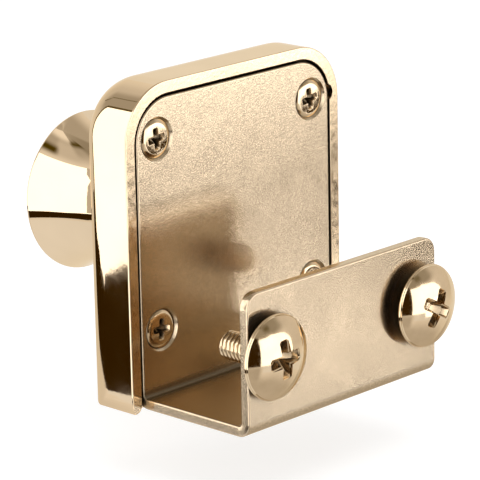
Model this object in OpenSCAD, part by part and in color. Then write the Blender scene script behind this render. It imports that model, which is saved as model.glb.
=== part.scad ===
// Clamp-on lock for a glass cabinet door: a bent bracket grips the edge of the glass,
// and a key plug in the flared knob throws a rack bolt past that edge.
// X runs across the glass edge, Y from the knob towards the clamp screws, Z up the glass.
// The origin is the middle of the seat that the edge of the glass stands on.

/* [Bracket] */
// Width of the bent bracket
bracket_w = 38; // [37:0.5:46]
// Height of the long plate above the glass seat
plate_h = 41.2; // [40:0.1:50]
// Height of the short lip above the glass seat
lip_h = 18.4; // [16:0.1:24]
// Thickness of the sheet
sheet_t = 1.5; // [1.2:0.1:1.7]
// Clear gap between plate and lip
glass_gap = 18.2; // [15:0.1:24]
// Inside radius of both bends
bend_r = 0.6; // [0.3:0.1:1]
// Radius of the plate's top corners
plate_corner_r = 6; // [4:0.5:8]
// Radius of the lip's top corners
lip_corner_r = 2.2; // [1:0.1:4]

/* [Housing] */
// Depth of the cast housing, rim to front face
housing_depth = 8.2; // [8.1:0.1:12]
// Width of the rim around the plate
rim_w = 1.65; // [1.5:0.05:3]
// Gap between plate and rim
plate_clearance = 0.5; // [0.1:0.05:0.6]
// Thickness of the front wall
front_wall = 1.6; // [1.2:0.1:1.7]
// Width of the ledge under the plate's edge
ledge_w = 2; // [1:0.1:3]
// How far back from the front face its rounded edge begins
edge_fillet = 3.5; // [2:0.1:4]
// How far the rounded edge draws in at the front face
edge_inset = 1.2; // [0.8:0.1:1.8]
// How far the foot stands below the bracket
foot_drop = 0.4; // [0:0.1:1]
// Thickness of the foot that the bolt passes through
foot_wall = 2.3; // [1.5:0.1:3]
// Height over which the sides draw in at the foot
foot_lean_h = 2.4; // [1:0.1:3]
// How far the sides draw in at the foot
foot_inset = 0.4; // [0.1:0.05:0.8]
// Rounding of the foot's front edge
foot_fillet = 0.8; // [0.5:0.1:2]
// Rounding of the rim's ends towards the plate
rim_end_r = 1.1; // [0.5:0.1:1.4]
// Radius of the relief notch in the rim
notch_r = 1.3; // [0.8:0.1:1.5]
// Drop of the relief notch below the plate's top
notch_drop = 5.3; // [4:0.1:10]
// How far the notch reaches past the plate's edge
notch_reach = 0.95; // [0.5:0.05:1.2]

/* [Plate screws] */
// Thread diameter
plate_screw_d = 3; // [2.5:0.1:3.2]
// Diameter of the countersunk head
plate_head_d = 5.5; // [5:0.1:6]
// Length over all
plate_screw_len = 6; // [4:0.1:6.2]
// Depth of the head's rim below the plate's face
head_sink = 0.3; // [0.1:0.05:0.4]
// Distance of the screws from the plate's sides
plate_screw_inset = 3.78; // [3.6:0.01:4.2]
// Distance of the upper screws from the plate's top
plate_screw_drop = 5.55; // [4.5:0.05:8]
// Height of the lower screws above the glass seat
plate_screw_lower = 9; // [7:0.1:12]
// Span of the cross recess
plate_cross = 3.1; // [2.5:0.1:3.6]
// Depth of the cross recess
plate_cross_depth = 1.4; // [0.8:0.1:1.6]
// Wall of the screw bosses
boss_wall = 1.6; // [1:0.1:1.7]

/* [Clamp screws] */
// Thread diameter
clamp_screw_d = 4; // [3:0.1:5]
// Diameter of the domed head
clamp_head_d = 11.8; // [8:0.1:13]
// Height of the head, edge included
clamp_head_h = 2.4; // [1.5:0.1:3.5]
// Thickness of the head's edge
clamp_head_edge = 0.4; // [0.2:0.1:0.8]
// Span of the cross recess
clamp_cross = 5.6; // [3.5:0.1:6.5]
// Depth of the cross recess
clamp_cross_depth = 1.9; // [1:0.1:2.4]
// Length under the head
clamp_screw_len = 8.4; // [6:0.1:14]
// Distance of the clamp screws from the lip's sides
clamp_screw_inset = 3.8; // [3:0.1:8]
// Height of the clamp screws above the glass seat
clamp_screw_z = 9.4; // [7:0.1:12]
// How far the left screw is backed off the lip
left_backoff = 1.2; // [0.2:0.1:4]
// How far the right screw is backed off the lip
right_backoff = 1.5; // [0.2:0.1:4]

/* [Knob] */
// Height of the knob's axis above the glass seat
knob_z = 20.6; // [20.3:0.1:22]
// Reach of the knob from the housing's front face
knob_len = 22.6; // [18:0.1:34]
// Diameter of the flared rim
knob_rim_d = 23.2; // [19:0.1:30]
// Diameter of the neck
knob_neck_d = 15.4; // [15:0.1:17]
// Length of the straight neck
knob_neck_len = 7; // [2:0.1:9]
// Rounding of the rim
knob_rim_r = 0.6; // [0.3:0.1:1]
// Wall of the spigot that passes through the housing
spigot_wall = 1.6; // [1.4:0.1:1.7]
// Thickness of the ring behind the front wall
knob_clip_t = 0.8; // [0.5:0.1:0.8]
// Width of that ring
knob_clip_w = 2; // [1.2:0.1:2.2]

/* [Key plug] */
// Diameter of the plug
plug_d = 10; // [9.6:0.1:10.2]
// Diameter of the plug's face
plug_face_d = 12.4; // [11.6:0.1:13]
// Thickness of the plug's face
plug_face_t = 1.2; // [0.8:0.1:2]
// Width of the keyway
key_w = 1.9; // [1.4:0.1:2.2]
// Height of the keyway
key_h = 7.4; // [6:0.1:8]
// Width across the square tail
tail_w = 5; // [4.6:0.1:5.4]
// Thickness of a wafer
wafer_t = 1; // [0.6:0.1:1.2]
// Spacing of the wafers
wafer_pitch = 2.4; // [2.2:0.1:2.8]
// Width of a wafer
wafer_w = 4.8; // [4.4:0.1:5]
// Height of the key window in a wafer
wafer_window_h = 5.6; // [4:0.1:6]
// Wire of the wafer springs
spring_wire = 0.26; // [0.2:0.02:0.3]
// Outside diameter of the wafer springs
spring_d = 1.5; // [1.2:0.1:1.6]

/* [Bolt drive] */
// Module of the teeth
gear_module = 1; // [0.9:0.02:1.02]
// Teeth on the pinion
pinion_teeth = 12; // [11:1:12]
// Thickness of the pinion
pinion_t = 2.2; // [1.6:0.1:2.2]
// Turn of the key, in degrees
key_turn = 90; // [60:5:90]
// Width of the bolt's nose
bolt_w = 12; // [8:0.1:14]
// Width of the fork's arms behind the teeth
arm_w = 3; // [2:0.1:3]
// Chamfer on the nose
nose_chamfer = 0.8; // [0.2:0.1:1.2]
// Thickness of the guide ribs
rib_t = 1.1; // [0.8:0.1:1.2]

/* [Fits] */
// Radial clearance of turning and threaded fits
running_fit = 0.05; // [0.02:0.01:0.08]
// Clearance of sliding faces
slide_fit = 0.12; // [0.05:0.01:0.2]
// Clearance of pieces that are assembled and stay put
seat_fit = 0.05; // [0.02:0.01:0.1]
// Thinning of each tooth flank
backlash = 0.06; // [0.03:0.01:0.1]
// Radial play of the plate screws in the plate
hole_play = 0.2; // [0.1:0.05:0.3]
// Clearance that moving pieces keep from what they pass
pass_gap = 0.3; // [0.2:0.05:0.4]

/* [Hidden] */
$fn = 64;
over = 1;
bite = 0.1;
GOLD = [0.86, 0.74, 0.55];
SATIN = [0.80, 0.68, 0.50];
BRASS = [0.78, 0.62, 0.33];
STEEL = [0.62, 0.62, 0.62];

// Planes along Y, from the clamp screws to the knob
lip_face_y = glass_gap / 2;
lip_back_y = lip_face_y + sheet_t;
plate_face_y = -glass_gap / 2;
plate_back_y = plate_face_y - sheet_t;
front_y = plate_face_y - housing_depth;
cavity_y = front_y + front_wall;

// Housing outline and cavity
housing_w = bracket_w + 2 * (plate_clearance + rim_w);
housing_top = plate_h + plate_clearance + rim_w;
housing_corner_r = plate_corner_r + plate_clearance + rim_w;
foot_z = -sheet_t - foot_drop;
floor_z = foot_z + foot_wall;
edge_r = (edge_fillet * edge_fillet + edge_inset * edge_inset) / (2 * edge_inset);
foot_lean_r = (foot_lean_h * foot_lean_h + foot_inset * foot_inset) / (2 * foot_inset);
pocket_w = bracket_w - 2 * ledge_w;
pocket_top = plate_h - ledge_w;
pocket_corner_r = plate_corner_r - ledge_w;

// Screw places
plate_screw_x = bracket_w / 2 - plate_screw_inset;
plate_screw_upper = plate_h - plate_screw_drop;
clamp_screw_x = bracket_w / 2 - clamp_screw_inset;
cross_arm_share = 0.3;
boss_d = plate_screw_d + 2 * boss_wall;
plate_hole_d = plate_screw_d + 2 * hole_play;
sink_d = plate_head_d + 2 * head_sink;
screw_tip_y = plate_face_y - head_sink - plate_screw_len;
boss_floor_y = min(screw_tip_y, cavity_y) - hole_play;

// Knob and plug, measured outwards from the housing's front face
bore_d = plug_d + 2 * running_fit;
spigot_d = bore_d + 2 * spigot_wall;
groove_depth = 0.6;
groove_lip = 0.35;
clip_room = knob_clip_t + 2 * seat_fit;
spigot_end = -(front_wall + clip_room + groove_lip);
spigot_flat = spigot_d / 2 - groove_depth + seat_fit;
flare_len = knob_len - knob_rim_r - knob_neck_len;
flare_rise = (knob_rim_d - knob_neck_d) / 2;
flare_r = (flare_len * flare_len + flare_rise * flare_rise) / (2 * flare_rise);
face_recess_d = plug_face_d + 2 * pass_gap;
pinion_to = spigot_end - slide_fit - pinion_t;
tail_step = 0.5;
stub_d = tail_w - 2 * tail_step;
plug_clip_t = 0.6;
plug_clip_w = 1.5;
stub_end = pinion_to - plug_clip_t - 2 * seat_fit - groove_lip;
key_floor = 2;
wafer_count = 5;
key_depth = knob_len - key_floor;
wafer_cover = 3;
wafer_first = knob_len - plug_face_t - wafer_cover;
wafer_r = plug_d / 2 - seat_fit;
window_play = 0.2;
lug_w = spring_d + pass_gap;
lug_h = 1;
lug_rise = 0.3;
spring_x = wafer_w / 2 + lug_w / 2;
spring_len = 2.6;
spring_turns = 4;
track_depth = 1;
track_r = plug_d / 2 + track_depth;

// Rack and pinion
pressure_angle = 25;
pitch_r = gear_module * pinion_teeth / 2;
dedendum = 1.25 * gear_module;
tip_r = pitch_r + gear_module;
root_r = pitch_r - dedendum;
tooth_pitch = PI * gear_module;
throw = pitch_r * key_turn * PI / 180;
rack_root_x = pitch_r + dedendum;
arm_x = rack_root_x + arm_w;
mesh_reach = 2;
rack_teeth_up = ceil(pinion_teeth * key_turn / 360) + mesh_reach;
shoulder_z = floor_z + throw + slide_fit;
shoulder_top = knob_z - tip_r - pass_gap;
arm_top = knob_z + rack_teeth_up * tooth_pitch;
bolt_back_y = plate_back_y - slide_fit;
bolt_front_y = cavity_y + slide_fit;
fork_front_y = front_y - spigot_end + pass_gap;
rib_x = arm_x + slide_fit;

// Extrude an X-Z outline between two planes along Y
module slab(from_y, to_y) {
    translate([0, to_y, 0])
        rotate([90, 0, 0])
            linear_extrude(to_y - from_y)
                children();
}

// Extrude a Y-Z outline across X, centred
module across(width) {
    rotate([90, 0, 90])
        linear_extrude(width, center = true)
            children();
}

// Turn a part built along Z so that it stands out of the front face on the knob's axis
module on_front() {
    translate([0, front_y, knob_z])
        rotate([90, 0, 0])
            children();
}

// A rod along the knob's axis, between two distances from the front face
module rod(d, from, to) {
    translate([0, 0, from])
        cylinder(d = d, h = to - from);
}

// A hole or boss along Y at a point of the X-Z plane
module pin_y(d, from_y, to_y, x, z) {
    translate([x, to_y, z])
        rotate([90, 0, 0])
            cylinder(d = d, h = to_y - from_y);
}

// What a round corner of radius r leaves of a square one, corner at the origin
module corner_waste(r) {
    difference() {
        translate([-over, -over])
            square(r + over);
        translate([r, r])
            circle(r);
    }
}

// What the drawn-in side leaves of a straight one at the foot, corner at the origin
module foot_waste() {
    difference() {
        translate([-over, -over])
            square([2 * foot_inset + over, foot_lean_h + over]);
        translate([foot_lean_r, foot_lean_h])
            circle(foot_lean_r);
    }
}

// A panel that stands on z = bottom, with rounded top corners
module panel(w, bottom, top, r) {
    translate([-w / 2, bottom])
        square([w, top - bottom - r]);
    translate([-w / 2 + r, bottom])
        square([w - 2 * r, top - bottom]);
    for (side = [-1, 1])
        translate([side * (w / 2 - r), top - r])
            circle(r);
}

// Half of the housing's section: depth against width, with the front edge rounded
module edge_section(reach) {
    intersection() {
        square([reach, housing_depth]);
        union() {
            square([reach, housing_depth - edge_fillet]);
            square([reach - edge_inset - bite, housing_depth]);
            translate([reach - edge_r, housing_depth - edge_fillet])
                circle(edge_r);
        }
    }
}

// The housing's outer form, with every front edge rounded
module housing_form() {
    corner_x = housing_w / 2 - housing_corner_r;
    corner_z = housing_top - housing_corner_r;
    translate([0, plate_face_y, 0]) {
        translate([0, 0, foot_z])
            linear_extrude(corner_z - foot_z)
                for (side = [0, 1])
                    mirror([side, 0])
                        mirror([0, 1])
                            edge_section(housing_w / 2);
        translate([0, 0, corner_z])
            across(2 * corner_x)
                rotate(90)
                    edge_section(housing_corner_r);
        for (side = [0, 1])
            mirror([side, 0, 0])
                translate([corner_x, 0, corner_z])
                    rotate([90, 0, 0])
                        rotate_extrude(angle = 90)
                            edge_section(housing_corner_r);
    }
}

// The teeth of the pinion from the involute of its base circle
base_r = pitch_r * cos(pressure_angle);
function involute(t) = base_r * [cos(t) + t * PI / 180 * sin(t), sin(t) - t * PI / 180 * cos(t)];
function roll_at(r) = r <= base_r ? 0 : sqrt(r * r / (base_r * base_r) - 1) * 180 / PI;
function polar_angle(p) = atan2(p[1], p[0]);
function turned(p, a) = [p[0] * cos(a) - p[1] * sin(a), p[0] * sin(a) + p[1] * cos(a)];
flank_steps = 6;
half_tooth = 90 / pinion_teeth - backlash / pitch_r * 180 / PI;
pitch_lag = polar_angle(involute(roll_at(pitch_r)));
flank = [for (i = [0 : flank_steps])
    let (r = max(root_r, base_r) + (tip_r - max(root_r, base_r)) * i / flank_steps)
        turned(involute(roll_at(r)), -half_tooth - pitch_lag)];
foot_point = turned([root_r, 0], polar_angle(flank[0]));
half_outline = concat([foot_point], flank);
tooth_outline = concat(half_outline, [for (i = [len(half_outline) - 1 : -1 : 0])
    [half_outline[i][0], -half_outline[i][1]]]);
pinion_outline = [for (k = [0 : pinion_teeth - 1])
    for (p = tooth_outline)
        turned(p, k * 360 / pinion_teeth)];

// One tooth of the rack, pointing at the pinion, centred on the pitch line
module rack_tooth() {
    half = tooth_pitch / 4;
    slope = tan(pressure_angle);
    tip = gear_module;
    root = dedendum + bite;
    polygon([[root, half + root * slope], [-tip, half - tip * slope],
        [-tip, -half + tip * slope], [root, -half - root * slope]]);
}

module housing() {
    color(GOLD)
    difference() {
        union() {
            difference() {
                housing_form();
                slab(plate_back_y, plate_face_y + over)
                    panel(bracket_w + 2 * plate_clearance, foot_z - over,
                        plate_h + plate_clearance, plate_corner_r + plate_clearance);
                slab(cavity_y, plate_back_y + over)
                    pocket();
                slab(cavity_y, plate_back_y + over)
                    translate([-bolt_w / 2 - slide_fit, foot_z - over])
                        square([bolt_w + 2 * slide_fit, foot_wall + 2 * over]);
            }
            for (x = [-1, 1])
                for (z = [plate_screw_lower, plate_screw_upper])
                    pin_y(boss_d, cavity_y - bite, plate_back_y, x * plate_screw_x, z);
            for (x = [-1, 1])
                slab(cavity_y - bite, plate_back_y - seat_fit)
                    translate([x * (rib_x + rib_t / 2) - rib_t / 2, floor_z - bite])
                        square([rib_t, arm_top - floor_z]);
        }
        for (x = [-1, 1])
            for (z = [plate_screw_lower, plate_screw_upper])
                pin_y(plate_screw_d + 2 * seat_fit, boss_floor_y, plate_back_y + over, x * plate_screw_x, z);
        pin_y(2 * notch_r, plate_back_y, plate_face_y + over,
            -(bracket_w / 2 + notch_reach - notch_r), plate_h - notch_drop);
        on_front()
            spigot_section(seat_fit)
                rod(spigot_d + 2 * seat_fit, -front_wall - over, over);
        for (side = [0, 1])
            mirror([side, 0, 0]) {
                slab(front_y - over, plate_face_y + over)
                    translate([-housing_w / 2, foot_z])
                        foot_waste();
                slab(plate_back_y, plate_face_y + over)
                    translate([-bracket_w / 2 - plate_clearance, foot_z])
                        mirror([1, 0])
                            corner_waste(rim_end_r);
            }
        across(housing_w + 2 * over)
            translate([front_y, foot_z])
                corner_waste(foot_fillet);
    }
}

// The hollow behind the plate
module pocket() {
    panel(pocket_w, floor_z, pocket_top, pocket_corner_r);
}

// Keep what lies between the flats that stop the knob from turning
module spigot_section(gap) {
    flat = spigot_flat + gap;
    intersection() {
        children();
        translate([-flat, -spigot_d, -knob_len])
            cube([2 * flat, 2 * spigot_d, 2 * knob_len]);
    }
}

module clamp_bracket() {
    color(SATIN)
    difference() {
        across(bracket_w)
            difference() {
                trough(sheet_t, bend_r + sheet_t);
                trough(0, bend_r);
                translate([0, lip_h])
                    square([glass_gap, plate_h]);
                translate([-glass_gap, plate_h])
                    square(2 * glass_gap);
            }
        for (side = [0, 1])
            mirror([side, 0, 0]) {
                slab(plate_back_y - over, plate_face_y + over)
                    translate([-bracket_w / 2, plate_h])
                        mirror([0, 1])
                            corner_waste(plate_corner_r);
                slab(lip_face_y - over, lip_back_y + over)
                    translate([-bracket_w / 2, lip_h])
                        mirror([0, 1])
                            corner_waste(lip_corner_r);
                pin_y(clamp_screw_d + 2 * running_fit, lip_face_y - over, lip_back_y + over,
                    clamp_screw_x, clamp_screw_z);
                for (z = [plate_screw_lower, plate_screw_upper])
                    translate([plate_screw_x, 0, z])
                        plate_screw_hole();
            }
    }
}

// Inside or outside of the U, grown by the sheet
module trough(grow, r) {
    w = glass_gap + 2 * grow;
    top = plate_h + over;
    translate([-w / 2 + r, -grow])
        square([w - 2 * r, top + grow]);
    translate([-w / 2, -grow + r])
        square([w, top + grow - r]);
    for (side = [-1, 1])
        translate([side * (w / 2 - r), -grow + r])
            circle(r);
}

// Countersunk hole in the plate, on its own axis
module plate_screw_hole() {
    mouth_d = sink_d + 2 * over;
    pin_y(plate_hole_d, plate_back_y - over, plate_face_y + over, 0, 0);
    translate([0, plate_face_y + over, 0])
        rotate([90, 0, 0])
            cylinder(d1 = mouth_d, d2 = plate_hole_d, h = (mouth_d - plate_hole_d) / 2);
}

// Cross-shaped drive recess, sunk along +Z from z = 0 and turned by an angle
module cross_recess(span, depth, turn) {
    wing = span * cross_arm_share;
    for (quarter = [0, 90])
        rotate(turn + quarter)
            translate([-span / 2, -wing / 2, -over])
                cube([span, wing, depth / 2 + over]);
    translate([0, 0, -over])
        cylinder(d = wing, h = depth + over);
}

// Raised countersunk screw: the cone seats in the plate, the shank in the housing's boss
module plate_screw(side, z, turn) {
    head_h = (plate_head_d - plate_screw_d) / 2;
    head_rise = head_sink - seat_fit;
    rim_d = plate_head_d - 2 * seat_fit;
    color(GOLD)
    translate([side * plate_screw_x, plate_face_y - head_sink, z])
        rotate([90, 0, 0])
            difference() {
                union() {
                    translate([0, 0, -head_rise])
                        cylinder(d1 = rim_d - 2 * head_rise, d2 = rim_d, h = head_rise);
                    cylinder(d1 = rim_d, d2 = plate_screw_d - 2 * seat_fit, h = head_h);
                    cylinder(d = plate_screw_d, h = plate_screw_len);
                }
                translate([0, 0, -head_rise])
                    cross_recess(plate_cross, plate_cross_depth, turn);
            }
}

// Dome-head screw, backed off the lip
module clamp_screw(side, backoff, turn) {
    color(GOLD)
    translate([side * clamp_screw_x, lip_back_y + backoff, clamp_screw_z])
        rotate([-90, 0, 0])
            difference() {
                rotate_extrude()
                    clamp_screw_section();
                translate([0, 0, clamp_head_h])
                    mirror([0, 0, 1])
                        cross_recess(clamp_cross, clamp_cross_depth, turn);
            }
}

// Half section of the dome-head screw, from its chamfered tip to the top of the dome
module clamp_screw_section() {
    dome_h = clamp_head_h - clamp_head_edge;
    head_r = clamp_head_d / 2;
    dome_r = (head_r * head_r + dome_h * dome_h) / (2 * dome_h);
    tip_chamfer = 0.5;
    square([head_r, clamp_head_edge]);
    intersection() {
        translate([0, clamp_head_edge])
            square([head_r, dome_h]);
        translate([0, clamp_head_h - dome_r])
            circle(dome_r);
    }
    translate([0, -clamp_screw_len + tip_chamfer])
        square([clamp_screw_d / 2, clamp_screw_len - tip_chamfer]);
    polygon([[0, -clamp_screw_len], [clamp_screw_d / 2 - tip_chamfer, -clamp_screw_len],
        [clamp_screw_d / 2, -clamp_screw_len + tip_chamfer], [0, -clamp_screw_len + tip_chamfer]]);
}

// Flared knob, bored for the plug, with its spigot through the housing's front wall
module knob() {
    color(GOLD)
    on_front()
        difference() {
            union() {
                rotate_extrude()
                    knob_section();
                spigot_section(0)
                    rod(spigot_d, spigot_end, over);
            }
            rod(bore_d, spigot_end - over, knob_len + over);
            rod(face_recess_d, knob_len - plug_face_t, knob_len + over);
            clip_groove();
            translate([-wafer_w / 2 - slide_fit, -track_r, wafer_first - wafer_count * wafer_pitch])
                cube([wafer_w + 2 * slide_fit, 2 * track_r, wafer_count * wafer_pitch + wafer_t]);
        }
}

// Half section of the knob: neck, hollow flare, rounded rim
module knob_section() {
    rim = knob_rim_d / 2;
    neck = knob_neck_d / 2;
    difference() {
        union() {
            square([rim - knob_rim_r, knob_len]);
            square([rim, knob_len - knob_rim_r]);
            translate([rim - knob_rim_r, knob_len - knob_rim_r])
                circle(knob_rim_r);
        }
        translate([neck, -over])
            square([rim, knob_neck_len + over]);
        translate([neck + flare_r, knob_neck_len])
            circle(flare_r, $fn = 128);
    }
}

// Ring cut into the spigot behind the front wall
module clip_groove() {
    difference() {
        rod(spigot_d + over, -front_wall - clip_room, -front_wall);
        rod(spigot_d - 2 * groove_depth, -front_wall - clip_room - over, over);
    }
}

// Split ring: outer and inner diameter, thickness from a plane inwards, and the gap
module split_ring(outer, inner, from, thickness, gap) {
    difference() {
        rod(outer, from - thickness, from);
        rod(inner, from - thickness - over, from + over);
        translate([-gap / 2, -outer, from - thickness - over])
            cube([gap, outer, thickness + 2 * over]);
    }
}

module knob_clip() {
    inner = spigot_d - 2 * groove_depth + 2 * seat_fit;
    color(STEEL)
    on_front()
        split_ring(inner + 2 * knob_clip_w, inner, -front_wall - seat_fit, knob_clip_t, spigot_d / 2);
}

module key_plug() {
    color(BRASS)
    on_front()
        difference() {
            union() {
                rod(plug_d, spigot_end, knob_len);
                rod(plug_face_d, knob_len - plug_face_t, knob_len);
                translate([-tail_w / 2, -tail_w / 2, pinion_to])
                    cube([tail_w, tail_w, spigot_end - pinion_to + over]);
                rod(stub_d, stub_end, pinion_to + over);
            }
            translate([-key_w / 2, -key_h / 2, knob_len - key_depth])
                cube([key_w, key_h, key_depth + over]);
            for (i = [0 : wafer_count - 1])
                translate([0, 0, wafer_first - i * wafer_pitch])
                    wafer_slot();
            difference() {
                rod(tail_w, pinion_to - plug_clip_t - 2 * seat_fit, pinion_to);
                rod(stub_d - groove_depth, stub_end, over);
            }
        }
}

// Room for one wafer, its lug and its spring
module wafer_slot() {
    translate([-wafer_w / 2 - seat_fit, -plug_d, -wafer_t / 2 - seat_fit])
        cube([wafer_w + 2 * seat_fit, 2 * plug_d, wafer_t + 2 * seat_fit]);
    translate([0, -spring_len - lug_h / 2 - seat_fit, -wafer_t / 2 - seat_fit])
        cube([wafer_w / 2 + lug_w + seat_fit, spring_len + lug_h + lug_rise, wafer_t + 2 * seat_fit]);
    translate([spring_x, lug_h / 2 + lug_rise, 0])
        rotate([90, 0, 0])
            cylinder(d = spring_d + 2 * seat_fit, h = spring_len + lug_h + lug_rise);
}

// Tumbler with its key window and the lug that its spring lifts
module wafer(i) {
    color(BRASS)
    on_front()
        translate([0, 0, wafer_first - i * wafer_pitch])
            difference() {
                intersection() {
                    union() {
                        translate([-wafer_w / 2, -plug_d, -wafer_t / 2])
                            cube([wafer_w, 2 * plug_d, wafer_t]);
                        translate([0, -lug_h / 2, -wafer_t / 2])
                            cube([wafer_w / 2 + lug_w, lug_h, wafer_t]);
                    }
                    cylinder(r = wafer_r, h = 2 * wafer_t, center = true);
                }
                translate([-key_w / 2 - window_play, -wafer_window_h / 2, -wafer_t])
                    cube([key_w + 2 * window_play, wafer_window_h, 2 * wafer_t]);
            }
}

// One coil, swept along its helix, standing on z = 0
module coil(mean_r, wire_r, length, turns) {
    sides = 6;
    rings = turns * 10;
    rise = (length - 2 * wire_r) / rings;
    points = [for (k = [0 : rings])
        for (s = [0 : sides - 1])
            let (a = k * 36, q = s * 360 / sides, r = mean_r + wire_r * cos(q))
                [r * cos(a), r * sin(a), wire_r + k * rise + wire_r * sin(q)]];
    walls = [for (k = [0 : rings - 1])
        for (s = [0 : sides - 1])
            let (n = (s + 1) % sides)
                [k * sides + s, (k + 1) * sides + s, (k + 1) * sides + n, k * sides + n]];
    first = [for (s = [0 : sides - 1]) s];
    last = [for (s = [sides - 1 : -1 : 0]) rings * sides + s];
    polyhedron(points, concat([first], walls, [last]));
}

module wafer_springs() {
    color(STEEL)
    on_front()
        for (i = [0 : wafer_count - 1])
            translate([spring_x, -lug_h / 2 - spring_len, wafer_first - i * wafer_pitch])
                rotate([-90, 0, 0])
                    coil((spring_d - spring_wire) / 2, spring_wire / 2, spring_len, spring_turns);
}

module pinion() {
    color(BRASS)
    on_front()
        difference() {
            translate([0, 0, pinion_to])
                linear_extrude(pinion_t)
                    polygon(pinion_outline);
            translate([-tail_w / 2 - seat_fit, -tail_w / 2 - seat_fit, pinion_to - over])
                cube([tail_w + 2 * seat_fit, tail_w + 2 * seat_fit, pinion_t + 2 * over]);
        }
}

module plug_clip() {
    inner = stub_d - groove_depth + 2 * seat_fit;
    color(STEEL)
    on_front()
        split_ring(inner + 2 * plug_clip_w, inner, pinion_to - seat_fit, plug_clip_t, stub_d / 2);
}

// Forked bolt: the nose fills the foot's slot, one arm carries the rack
module lock_bolt() {
    color(STEEL)
    union() {
        slab(bolt_front_y, bolt_back_y)
            difference() {
                translate([-bolt_w / 2, foot_z])
                    square([bolt_w, shoulder_z - foot_z + bite]);
                for (side = [0, 1])
                    mirror([side, 0])
                        translate([-bolt_w / 2, foot_z])
                            polygon([[-over, -over], [nose_chamfer + over, -over], [-over, nose_chamfer + over]]);
            }
        slab(fork_front_y, bolt_back_y) {
            translate([-arm_x, shoulder_z])
                square([2 * arm_x, shoulder_top - shoulder_z]);
            translate([rack_root_x, shoulder_z])
                square([arm_w, arm_top - shoulder_z]);
            translate([-arm_x, shoulder_z])
                square([arm_x - tip_r - pass_gap, arm_top - shoulder_z]);
            for (k = [-mesh_reach : rack_teeth_up - 1])
                translate([pitch_r, knob_z + (k + 0.5) * tooth_pitch])
                    rack_tooth();
        }
    }
}

housing();
clamp_bracket();
plate_screw(1, plate_screw_upper, -7);  // plate_screw_upper_left
plate_screw(-1, plate_screw_upper, -10);  // plate_screw_upper_right
plate_screw(1, plate_screw_lower, 4);  // plate_screw_lower_left
plate_screw(-1, plate_screw_lower, -12);  // plate_screw_lower_right
clamp_screw(1, left_backoff, 6);  // clamp_screw_left
clamp_screw(-1, right_backoff, -28);  // clamp_screw_right
knob();
knob_clip();
key_plug();
wafer(0);  // wafer_1
wafer(1);  // wafer_2
wafer(2);  // wafer_3
wafer(3);  // wafer_4
wafer(4);  // wafer_5
wafer_springs();
pinion();
plug_clip();
lock_bolt();
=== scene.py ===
import math

import bmesh
import bpy
from mathutils import Matrix, Vector


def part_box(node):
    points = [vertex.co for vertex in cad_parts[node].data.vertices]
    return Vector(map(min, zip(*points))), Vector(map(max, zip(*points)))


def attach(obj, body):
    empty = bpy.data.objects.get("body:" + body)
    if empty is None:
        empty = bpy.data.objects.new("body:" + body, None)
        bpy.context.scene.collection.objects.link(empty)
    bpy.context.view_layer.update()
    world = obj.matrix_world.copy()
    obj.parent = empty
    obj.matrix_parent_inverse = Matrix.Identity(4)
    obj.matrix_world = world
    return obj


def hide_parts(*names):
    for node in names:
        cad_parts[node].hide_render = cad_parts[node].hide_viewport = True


# Looks of a clamp-on lock for a glass door. Meshes are built in millimetres in the frame's own axes:
# X runs to the photograph's left, Y from the knob to the clamp screws, Z up.

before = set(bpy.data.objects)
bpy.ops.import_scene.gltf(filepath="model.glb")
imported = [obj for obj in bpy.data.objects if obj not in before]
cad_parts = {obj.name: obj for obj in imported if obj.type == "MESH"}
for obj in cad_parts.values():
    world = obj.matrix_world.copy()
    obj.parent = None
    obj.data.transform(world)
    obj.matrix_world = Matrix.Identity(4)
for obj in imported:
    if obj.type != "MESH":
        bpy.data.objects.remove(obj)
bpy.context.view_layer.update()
MM = 0.001


def box_mm(node):
    low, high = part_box(node)
    return low / MM, high / MM


# Sizes that the frame gives
bracket_low, bracket_high = box_mm("clamp_bracket")
housing_low, housing_high = box_mm("housing")
knob_low, knob_high = box_mm("knob")
sheet_t = -bracket_low.z
half_w = bracket_high.x
plate_top = bracket_high.z
plate_back = bracket_low.y
plate_face = plate_back + sheet_t
lip_back = bracket_high.y
lip_face = lip_back - sheet_t
front_y = housing_low.y
rim_y = housing_high.y
foot_z = housing_low.z
axis_z = (knob_low.z + knob_high.z) / 2
knob_len = front_y - knob_low.y
spigot_in = knob_high.y - front_y

# Sizes that repeat the source's: bracket
lip_top = 18.4
bend_r = 0.6
plate_corner_r = 6.0
lip_corner_r = 2.2
plate_hole_r = 1.7
sink_r = 3.05
lip_hole_r = 2.05

# Sizes that repeat the source's: housing and bolt
housing_corner_r = plate_corner_r + housing_high.x - half_w
edge_fillet = 3.5
edge_inset = 1.2
foot_lean_h = 2.4
foot_inset = 0.4
foot_fillet = 0.8
rim_end_r = 1.1
front_wall = 1.6
floor_z = foot_z + 2.3
ledge_w = 2.0
notch_r = 1.3
notch_drop = 5.3
notch_reach = 0.95
bolt_nose_half = 6.0
slot_play = 0.12
bolt_throw = 9.42

# Sizes that repeat the source's: screws
head_rise = 0.25
thread_r = 2.0
head_edge = 0.4
clamp_head_h = 2.4
clamp_cross_reach = 2.8
plate_cross_reach = 1.55

# Sizes that repeat the source's: knob
neck_r = 7.7
neck_len = 7.0
knob_rim_r = 0.6
bore_r = 5.05
face_recess_r = 6.5
face_recess_depth = 1.2
spigot_r = 6.65
spigot_flat = 6.1
groove_r = 6.05
clip_room = 0.9

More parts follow.
